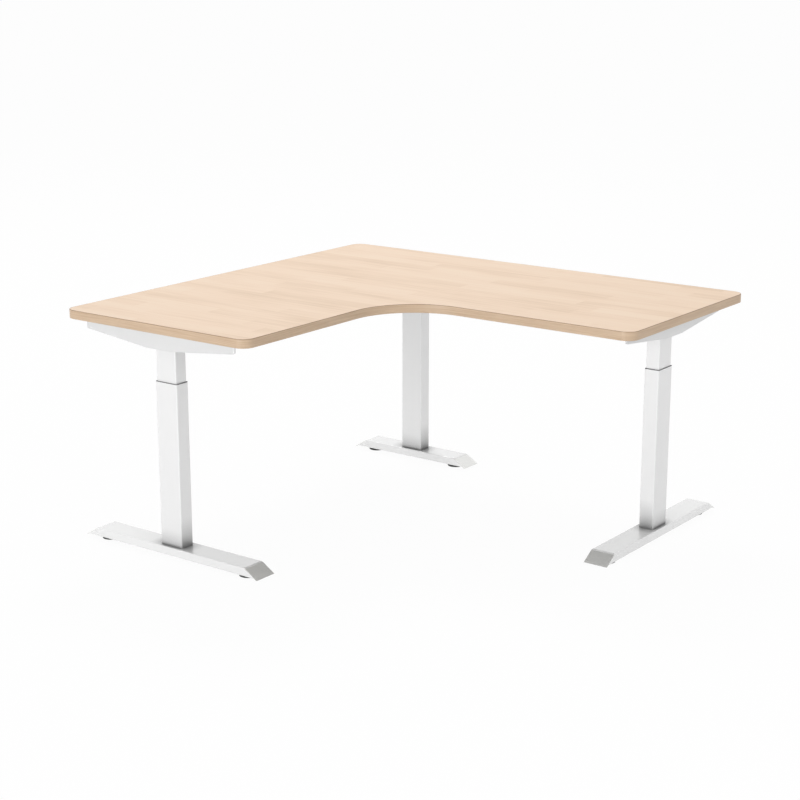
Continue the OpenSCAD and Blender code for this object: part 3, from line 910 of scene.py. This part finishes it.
@dataclass
class ScrewPattern:
    """A screw drawn once: its head, the drive in it and the thread on its shank.

    Depths are shares of the head's height, and widths are shares of its radius. The
    thread is cut into the shank by a share of the shank's radius.
    """

    model: Fastener
    drive: Drive
    pitch: float
    steps: int = 20
    rows_per_turn: int = 5
    eased: float = 0.14
    ease_turns: tuple[float, ...] = (0.0, 0.5, 1.0, math.pi / 2)
    middle_r: float = 1e-5
    flat: float = 0.62
    drive_depth: float = 0.6
    drive_reach: float = 0.55
    cross_half: float = 0.15
    thread: float = 0.16
    fade_in: float = 2.0
    fade_out: float = 6.0

    def shape(self) -> bpy.types.Object:
        """Builds the screw on the Z axis, with its head's outer face at the origin.

        Returns:
            The screw.
        """
        m = self.model
        ease = self.eased * m.head_h
        flat_r = m.head_r - ease
        head = [
            (flat_r + ease * math.sin(t), ease - ease * math.cos(t)) for t in self.ease_turns
        ]
        profile = [
            (self.middle_r, 0.0),
            (m.head_r * self.flat, 0.0),
            *head,
            (m.head_r, m.head_h),
            (m.shank_r, m.head_h),
        ]
        verts, faces = lathe(profile, self.steps)
        first = len(verts) - self.steps
        exact = (m.length - m.head_h) / self.pitch * self.rows_per_turn
        # A half goes up once the frame's rounding noise is off, so the count is always the same.
        rows = max(2, math.floor(round(exact, 2) + 0.5))
        for row in range(1, rows + 1):
            z = m.head_h + (m.length - m.head_h) * row / rows
            fade = min(1.0, self.fade_in * row / rows, self.fade_out * (rows - row) / rows)
            for i in range(self.steps):
                phase = (z / self.pitch - i / self.steps) % 1.0
                r = m.shank_r * (1 - self.thread * fade * abs(2 * phase - 1))
                a = math.tau * i / self.steps
                verts.append(Vector((r * math.cos(a), r * math.sin(a), z)))
            low = first + (row - 1) * self.steps
            high = low + self.steps
            ring = [(i, (i + 1) % self.steps) for i in range(self.steps)]
            faces += [(low + i, low + j, high + j, high + i) for i, j in ring]
        last = len(verts) - self.steps
        faces.append(tuple(range(last, last + self.steps)))
        faces.append(tuple(range(self.steps)))
        screw = new_piece("screw_pattern", verts, faces, ZINC)
        self.cut_drive(screw)
        return screw

    def cut_drive(self, screw: bpy.types.Object) -> None:
        """Sinks the drive into the head.

        Args:
            screw: The plain screw, which is changed.
        """
        m = self.model
        deep = self.drive_depth * m.head_h
        long, short = self.drive_reach * m.head_r, self.cross_half * m.head_r
        if self.drive is Drive.HEX:
            turns = [math.tau * i / 6 for i in range(6)]
            outline = [(long * math.cos(a), long * math.sin(a)) for a in turns]
        else:
            quarter = [(long, -short), (long, short), (short, short)]
            outline = [
                (x * math.cos(a) - y * math.sin(a), x * math.sin(a) + y * math.cos(a))
                for a in (math.pi / 2 * i for i in range(4))
                for x, y in quarter
            ]
        tool = new_piece("drive_cut", *prism(outline, -m.head_h, deep), ZINC)
        cut = screw.modifiers.new("drive", "BOOLEAN")
        cut.operation = "DIFFERENCE"
        cut.object = tool
        cut.solver = "EXACT"
        bake(screw)
        bpy.data.objects.remove(tool)


def bake(piece: bpy.types.Object) -> None:
    """Turns a piece's modifiers into its mesh.

    Args:
        piece: The piece, which is changed.
    """
    shown = piece.evaluated_get(bpy.context.evaluated_depsgraph_get())
    piece.data = bpy.data.meshes.new_from_object(shown)
    piece.modifiers.clear()


@dataclass
class Hardware:
    """The screws of one node, set out again by Geometry Nodes from a pattern for each size."""

    node: str
    body: str
    drive: Drive
    pitch: float
    finish: Finish = ZINC

    def build(self) -> None:
        """Builds the screws and lets them stand for the node."""
        found = [read_fastener(points) for points in islands(self.node)]
        kinds: dict[tuple[float, float], list[Fastener]] = {}
        for screw in found:
            kinds.setdefault((round(screw.length, 5), round(screw.head_r, 5)), []).append(screw)
        parts = [self.set_out(group, i) for i, group in enumerate(kinds.values())]
        whole = bpy.data.meshes.new(self.node)
        work = bmesh.new()
        for part in parts:
            work.from_mesh(part.data)
            bpy.data.objects.remove(part)
        work.to_mesh(whole)
        work.free()
        whole.materials.append(self.finish.material())
        piece = bpy.data.objects.new(f"{self.node}_threaded", whole)
        bpy.context.scene.collection.objects.link(piece)
        shade_smooth(piece)
        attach(piece, self.body)
        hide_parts(self.node)
        log.info("set out %d screws of %s", len(found), self.node)

    def set_out(self, group: Sequence[Fastener], number: int) -> bpy.types.Object:
        """Puts the same screw at several places.

        Args:
            group: The places, all of one size of screw.
            number: Which group this is.

        Returns:
            One object with all the screws, as a plain mesh.
        """
        pattern = ScrewPattern(group[0], self.drive, self.pitch).shape()
        mesh = bpy.data.meshes.new(f"{self.node}_seats_{number}")
        mesh.from_pydata([tuple(s.seat) for s in group], [], [])
        axes = mesh.attributes.new("axis", "FLOAT_VECTOR", "POINT")
        for item, screw in zip(axes.data, group):
            item.vector = screw.axis
        seats = bpy.data.objects.new(mesh.name, mesh)
        bpy.context.scene.collection.objects.link(seats)
        modifier = seats.modifiers.new("screws", "NODES")
        modifier.node_group = screw_tree()
        items = modifier.node_group.interface.items_tree
        sockets = {s.name: s.identifier for s in items if s.in_out == "INPUT"}
        modifier[sockets["Screw"]] = pattern
        modifier[sockets["Finish"]] = self.finish.material()
        bpy.context.view_layer.update()
        bake(seats)
        bpy.data.objects.remove(pattern)
        return seats


def screw_tree() -> bpy.types.NodeTree:
    """Builds the tree that sets a screw on every point, along the point's own axis.

    Returns:
        The tree, built once.
    """
    tree = bpy.data.node_groups.get("screws_on_points")
    if tree is not None:
        return tree
    tree = bpy.data.node_groups.new("screws_on_points", "GeometryNodeTree")
    face = tree.interface
    face.new_socket("Seats", in_out="INPUT", socket_type="NodeSocketGeometry")
    face.new_socket("Screw", in_out="INPUT", socket_type="NodeSocketObject")
    face.new_socket("Finish", in_out="INPUT", socket_type="NodeSocketMaterial")
    face.new_socket("Screws", in_out="OUTPUT", socket_type="NodeSocketGeometry")
    given = add_node(tree, "NodeGroupInput")
    shape = add_node(tree, "GeometryNodeObjectInfo", {"Object": given.outputs["Screw"]})
    axis = add_node(tree, "GeometryNodeInputNamedAttribute", {"Name": "axis"}, data_type="FLOAT_VECTOR")
    turned = add_node(
        tree, "FunctionNodeAlignRotationToVector", {"Vector": axis.outputs["Attribute"]}, axis="Z"
    )
    placed = add_node(
        tree,
        "GeometryNodeInstanceOnPoints",
        {
            "Points": given.outputs["Seats"],
            "Instance": shape.outputs["Geometry"],
            "Rotation": turned.outputs["Rotation"],
        },
    )
    real = add_node(tree, "GeometryNodeRealizeInstances", {"Geometry": placed.outputs["Instances"]})
    done = add_node(
        tree,
        "GeometryNodeSetMaterial",
        {"Geometry": real.outputs["Geometry"], "Material": given.outputs["Finish"]},
    )
    add_node(tree, "NodeGroupOutput", {"Screws": done.outputs["Geometry"]})
    return tree


# ---- Legs and frame ----


@dataclass
class Legs:
    """Feet, columns and what drives them."""

    def build(self) -> None:
        """Dresses the nodes of the three legs."""
        dress(per_leg("upper_tube"), COAT)
        dress(per_leg("bracket"), SHADED_BRACKET_COAT)
        dress(per_leg("lower_tube"), COLUMN_COAT)
        dress(per_leg("foot"), FOOT_COAT)
        dress(per_leg("collar"), COLLAR_PLASTIC)
        dress(["guide_shoes"], DARK_PLASTIC)
        dress([f"glide_pad_{leg}_{i}" for leg in LEGS for i in (1, 2)], GLIDE_PLASTIC)
        dress([f"glide_stud_{leg}_{i}" for leg in LEGS for i in (1, 2)], ZINC)
        dress([*per_leg("push_tube"), "glide_bushes"], ZINC)
        dress(["foot_end_caps"], END_LACQUER)
        dress(per_leg("spindle"), ROLLED)
        dress(["drive_nuts"], ACETAL)
        dress(per_leg("gearbox"), CAST)
        dress(per_leg("motor"), ENAMEL)
        Hardware("foot_bolts", "base", Drive.HEX, 1.0 * MM).build()


@dataclass
class Underframe:
    """The beams under the board, and the screws of the whole frame."""

    def build(self) -> None:
        """Dresses the beams and sets out the screws."""
        dress(["main_beam", "main_beam_slider", "side_beam", "side_beam_slider"], COAT)
        Hardware("board_screws", "top", Drive.CROSS, 2.2 * MM).build()
        Hardware("frame_bolts", "top", Drive.HEX, 1.0 * MM).build()


# ---- Controls ----


@dataclass
class Controls:
    """Control box, and handset with its keys and readout.

    The readout's digits are fixed: they give the height at rest and don't change as the
    desk moves.
    """

    segment: float = 5.2 * MM
    stroke: float = 0.9 * MM
    relief: float = 0.05 * MM
    digits: str = "760"
    digit_scale: float = 0.72
    digit_pitch: float = 1.9
    key_scale: float = 0.5
    arrow_side: float = 2.3 * MM
    arrow_foot: float = 0.7
    tip_inset: float = 0.3

    def build(self) -> None:
        """Dresses the controls and prints the keys."""
        dress(["control_box", "handset"], DARK_PLASTIC)
        dress(["display_window"], WINDOW)
        keys = ["button_up", "button_down", "button_1", "button_2", "button_3"]
        dress(keys, KEY)
        self.mark("button_up", self.arrow(1.0))
        self.mark("button_down", self.arrow(-1.0))
        for name in keys[2:]:
            self.mark(name, self.numeral(name[-1], self.key_scale))
        self.readout()

    def arrow(self, turn: float) -> list[list[Point]]:
        """A triangle that points up for 1 and down for -1."""
        side, foot = self.arrow_side, -turn * self.arrow_side * self.arrow_foot
        return [[(-side, foot), (side, foot), (0.0, turn * side)]]

    def bar(self, a: Point, b: Point, width: float) -> list[Point]:
        """One stroke of a numeral, from a to b, with pointed ends.

        Args:
            a: Where it starts.
            b: Where it ends.
            width: How wide it is.

        Returns:
            Its outline.
        """
        start, end = Vector(a), Vector(b)
        along = (end - start).normalized()
        side = Vector((-along.y, along.x)) * width / 2
        tip = along * width / 2
        start, end = start + tip * self.tip_inset, end - tip * self.tip_inset
        points = [start, start + tip - side, end - tip - side, end, end - tip + side, start + tip + side]
        return [(p.x, p.y) for p in points]

    def numeral(self, digit: str, scale: float) -> list[list[Point]]:
        """A numeral in seven straight strokes, centred.

        Args:
            digit: One of 0, 1, 2, 3, 6 and 7, the numerals that this desk shows.
            scale: Its size, as a share of the readout's.

        Returns:
            The outline of each stroke.
        """
        s, w = self.segment * scale / 2, self.stroke * (0.5 + scale / 2)
        ends = {
            "a": ((-s, 2 * s), (s, 2 * s)),
            "b": ((s, 2 * s), (s, 0.0)),
            "c": ((s, 0.0), (s, -2 * s)),
            "d": ((s, -2 * s), (-s, -2 * s)),
            "e": ((-s, -2 * s), (-s, 0.0)),
            "f": ((-s, 0.0), (-s, 2 * s)),
            "g": ((-s, 0.0), (s, 0.0)),
        }
        strokes = {
            "0": "abcdef",
            "1": "bc",
            "2": "abged",
            "3": "abgcd",
            "6": "afgedc",
            "7": "abc",
        }
        return [self.bar(*ends[k], w) for k in strokes[digit]]

    def flat_marks(
        self, name: str, outlines: Sequence[Sequence[Point]], centre: Vector, finish: Finish
    ) -> bpy.types.Object:
        """Makes thin marks on a face that looks along -Y.

        Args:
            name: The piece's name.
            outlines: The marks, with X to the right and Y up.
            centre: The middle of the marks, on the face.
            finish: What they are made of.

        Returns:
            The piece.
        """
        verts: list[Vector] = []
        faces: list[tuple[int, ...]] = []
        for outline in outlines:
            points, sides = prism(outline, -self.relief, self.relief)
            faces += [tuple(i + len(verts) for i in side) for side in sides]
            verts += [Vector((centre.x + p.x, centre.y - p.z, centre.z + p.y)) for p in points]
        return new_piece(name, verts, faces, finish)

    def mark(self, node: str, outlines: Sequence[Sequence[Point]]) -> None:
        """Prints marks on a key.

        Args:
            node: The key's node, which is also its body.
            outlines: The marks.
        """
        low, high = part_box(node)
        centre = (low + high) / 2
        centre.y = low.y
        piece = self.flat_marks(f"printedon_{node}", outlines, centre, PRINT)
        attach(piece, node)
        log.info("printed %s", piece.name)

    def readout(self) -> None:
        """Lights the readout, which gives the desk's height at rest, in millimetres."""
        low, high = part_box("display_window")
        centre = (low + high) / 2
        centre.y = low.y
        pitch = self.digit_pitch * self.segment
        outlines = []
        for i, digit in enumerate(self.digits):
            shift = (i - (len(self.digits) - 1) / 2) * pitch
            strokes = self.numeral(digit, self.digit_scale)
            outlines += [[(x + shift, y) for x, y in stroke] for stroke in strokes]
        piece = self.flat_marks("height_readout", outlines, centre, LIT)
        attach(piece, "top")
        log.info("lit the readout")


# ---- Studio ----


@dataclass(frozen=True)
class Lamp:
    """A soft rectangular lamp that looks at a point."""

    name: str
    place: tuple[float, float, float]
    aim: tuple[float, float, float]
    size: float
    power: float


@dataclass
class Studio:
    """Camera, floor, world and lamps.

    The world's light is sky in the middle, and slant says by what share it grows towards
    bright_side and falls away from it. Floor_glow is the share of plain white in what the
    camera sees of the floor.
    """

    camera_place: tuple[float, float, float] = (3.2388, -4.4504, 1.8925)
    azimuth: float = 36.450
    tilt: float = 14.871
    lens: float = 79.0
    sensor: float = 36.0
    view_end: float = 200.0
    sky: float = 0.62
    bright_side: tuple[float, float, float] = (-0.45, 0.89, 0.0)
    slant: float = 0.5
    floor_half: float = 90.0
    floor_paint: str = "f2f2f2"
    floor_glow: float = 0.96
    lamps: tuple[Lamp, ...] = (
        Lamp("key", (0.3, -9.0, 1.9), (0.0, 0.0, 0.4), 3.5, 328.0),
        Lamp("fill", (4.5, -1.5, 2.4), (0.0, 0.0, 0.5), 2.6, 30.0),
        Lamp("back", (-3.6, 3.6, 7.4), (0.0, 0.0, 0.4), 2.4, 240.0),
    )

    def build(self) -> None:
        """Sets up the studio."""
        self.set_camera()
        self.set_world()
        self.set_floor()
        for lamp in self.lamps:
            self.set_lamp(lamp)
        bpy.context.scene.view_settings.view_transform = "Standard"
        log.info("set up the studio")

    def set_camera(self) -> None:
        """Places the camera and turns it to the desk."""
        data = bpy.data.cameras.new("camera")
        data.lens = self.lens
        data.sensor_width = self.sensor
        data.clip_end = self.view_end
        camera = bpy.data.objects.new("camera", data)
        camera.location = self.camera_place
        camera.rotation_euler = (math.radians(90 - self.tilt), 0.0, math.radians(self.azimuth))
        bpy.context.scene.collection.objects.link(camera)
        bpy.context.scene.camera = camera

    def set_world(self) -> None:
        """Makes the world white to the camera and to gloss, and dimmer and one-sided as a light."""
        world = bpy.data.worlds.new("studio_world")
        world.use_nodes = True
        tree = world.node_tree
        tree.nodes.clear()
        coords = add_node(tree, "ShaderNodeTexCoord")
        toward = add_node(
            tree,
            "ShaderNodeVectorMath",
            {0: coords.outputs["Generated"], 1: self.bright_side},
            operation="DOT_PRODUCT",
        )
        light = add_node(
            tree,
            "ShaderNodeMath",
            {0: toward.outputs["Value"], 1: self.sky * self.slant, 2: self.sky},
            operation="MULTIPLY_ADD",
        )
        strength = add_node(
            tree, "ShaderNodeMix", {0: self.seen(tree), 2: light.outputs[0], 3: 1.0}, data_type="FLOAT"
        )
        sky = add_node(
            tree,
            "ShaderNodeBackground",
            {"Color": linear("ffffff"), "Strength": strength.outputs[0]},
        )
        add_node(tree, "ShaderNodeOutputWorld", {"Surface": sky.outputs[0]})
        bpy.context.scene.world = world

    def seen(self, tree: bpy.types.NodeTree) -> bpy.types.NodeSocket:
        """Tells what looks at a surface.

        Args:
            tree: The tree that asks.

        Returns:
            A socket that is 1 for a ray from the camera, a mirror or a clear piece, and 0
            for the rest.
        """
        path = add_node(tree, "ShaderNodeLightPath")
        first = add_node(
            tree,
            "ShaderNodeMath",
            {0: path.outputs["Is Camera Ray"], 1: path.outputs["Is Glossy Ray"]},
            operation="MAXIMUM",
        )
        both = add_node(
            tree,
            "ShaderNodeMath",
            {0: first.outputs[0], 1: path.outputs["Is Transmission Ray"]},
            operation="MAXIMUM",
        )
        return both.outputs[0]

    def set_floor(self) -> None:
        """Lays a white floor.

        The camera sees the floor's own paint, and with it the desk's shadow, at the share
        that floor_glow leaves. At 0.96 the shadow is about one level in 255, too faint for
        the eye.
        """
        half = self.floor_half
        material = bpy.data.materials.new("studio_floor")
        material.use_nodes = True
        tree = material.node_tree
        tree.nodes.clear()
        paint = add_node(tree, "ShaderNodeBsdfDiffuse", {"Color": linear(self.floor_paint)})
        glow = add_node(tree, "ShaderNodeEmission", {"Color": linear("ffffff"), "Strength": 1.0})
        share = add_node(
            tree,
            "ShaderNodeMath",
            {0: self.seen(tree), 1: self.floor_glow},
            operation="MULTIPLY",
        )
        mixed = add_node(
            tree, "ShaderNodeMixShader", {0: share.outputs[0], 1: paint.outputs[0], 2: glow.outputs[0]}
        )
        add_node(tree, "ShaderNodeOutputMaterial", {"Surface": mixed.outputs[0]})
        mesh = bpy.data.meshes.new("floor")
        corners = [(-half, -half, 0), (half, -half, 0), (half, half, 0), (-half, half, 0)]
        mesh.from_pydata(corners, [], [(0, 1, 2, 3)])
        mesh.materials.append(material)
        floor = bpy.data.objects.new("floor", mesh)
        bpy.context.scene.collection.objects.link(floor)

    def set_lamp(self, lamp: Lamp) -> None:
        """Hangs one lamp.

        Args:
            lamp: Where it hangs and how bright it is.
        """
        data = bpy.data.lights.new(lamp.name, "AREA")
        data.shape = "SQUARE"
        data.size = lamp.size
        data.energy = lamp.power
        made = bpy.data.objects.new(lamp.name, data)
        made.location = lamp.place
        aim = Vector(lamp.aim) - Vector(lamp.place)
        made.rotation_euler = aim.to_track_quat("-Z", "Y").to_euler()
        bpy.context.scene.collection.objects.link(made)


def main() -> None:
    """Builds the desk and its studio."""
    logging.basicConfig(level=logging.INFO, format="%(name)s: %(message)s")
    steps: tuple[Callable[[], None], ...] = (
        Studio().build,
        Tabletop().build,
        Legs().build,
        Underframe().build,
        Controls().build,
    )
    for step in steps:
        step()


if __name__ == "__main__":
    main()
